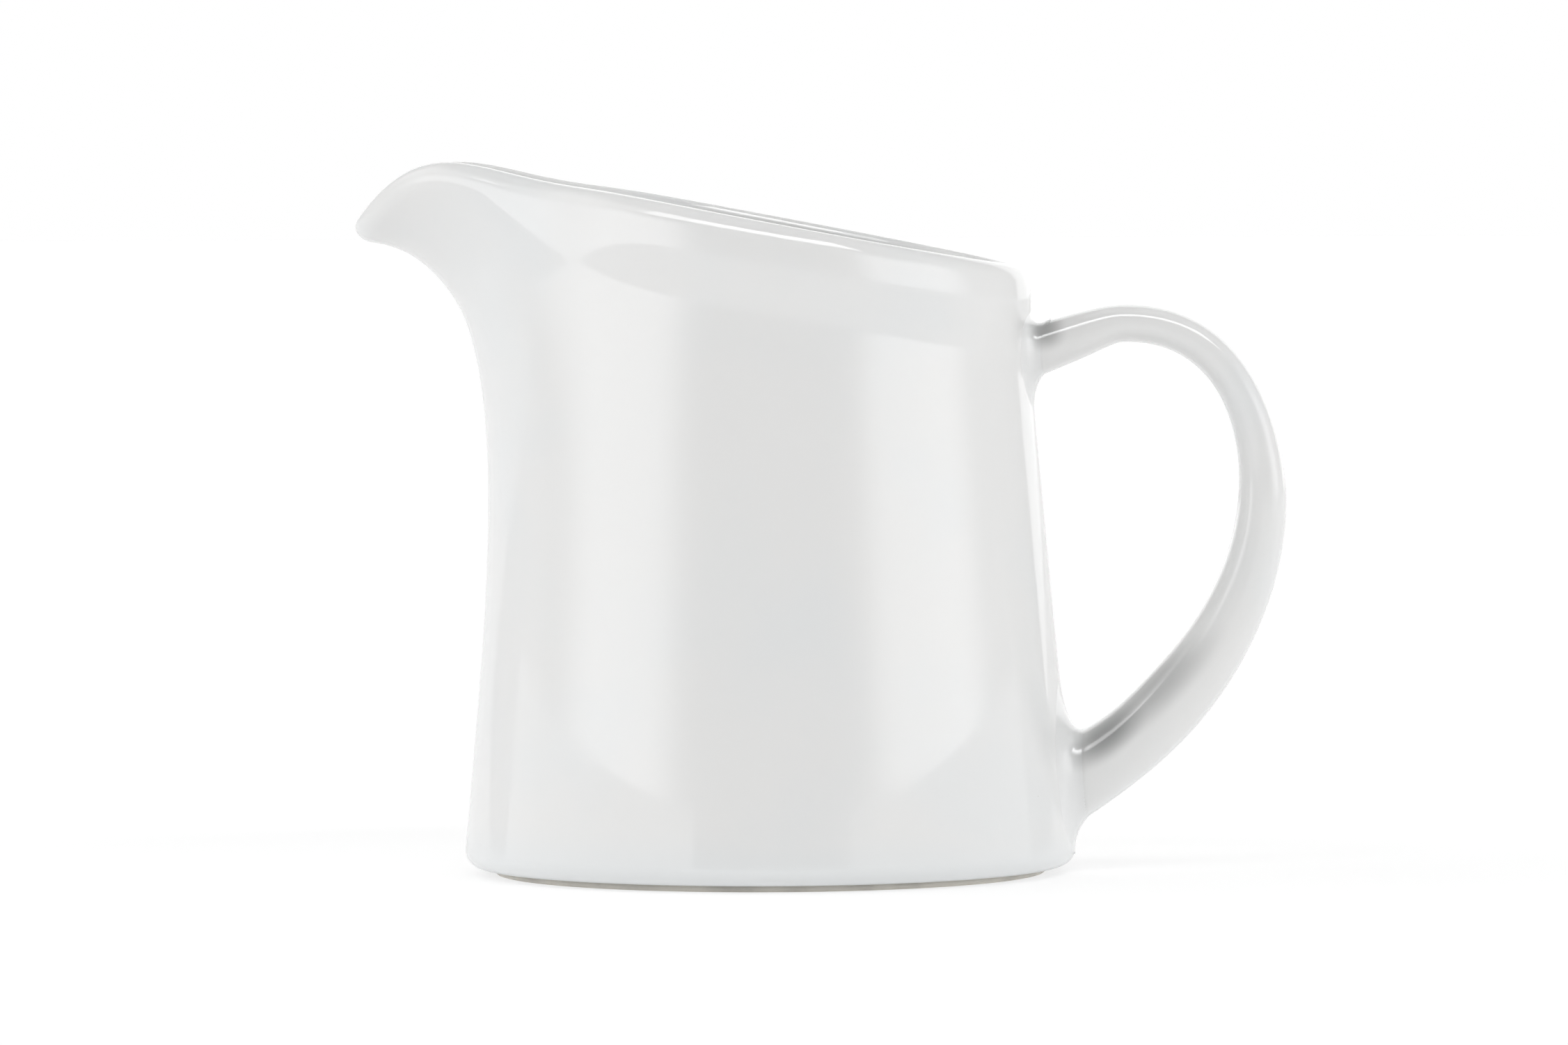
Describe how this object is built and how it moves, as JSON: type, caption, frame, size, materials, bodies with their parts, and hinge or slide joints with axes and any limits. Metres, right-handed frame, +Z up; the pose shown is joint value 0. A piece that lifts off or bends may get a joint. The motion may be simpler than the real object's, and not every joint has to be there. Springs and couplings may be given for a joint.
{
  "type": "milk jug",
  "caption": "White glazed porcelain milk jug with a tapered round body, a pulled spout, a sloping rolled rim and a strap handle.",
  "frame": {"origin": "centre of the foot ring's resting face, on the body's axis", "axes": "+Z up along the body's axis, +X from the axis towards the handle, spout at -X, +Y across"},
  "size_m": [0.1213, 0.0796, 0.0927],
  "materials": {
    "glazed_porcelain": "clear gloss glaze on white porcelain",
    "glazed_slip": "clear gloss glaze on porcelain slip",
    "bare_porcelain": "unglazed, ground and wiped"
  },
  "bodies": {
    "root": {"body": "glazed_porcelain", "foot_ring": "bare_porcelain", "handle": "glazed_porcelain", "upper_slip_joint": "glazed_slip", "lower_slip_joint": "glazed_slip"}
  },
  "joints": []
}
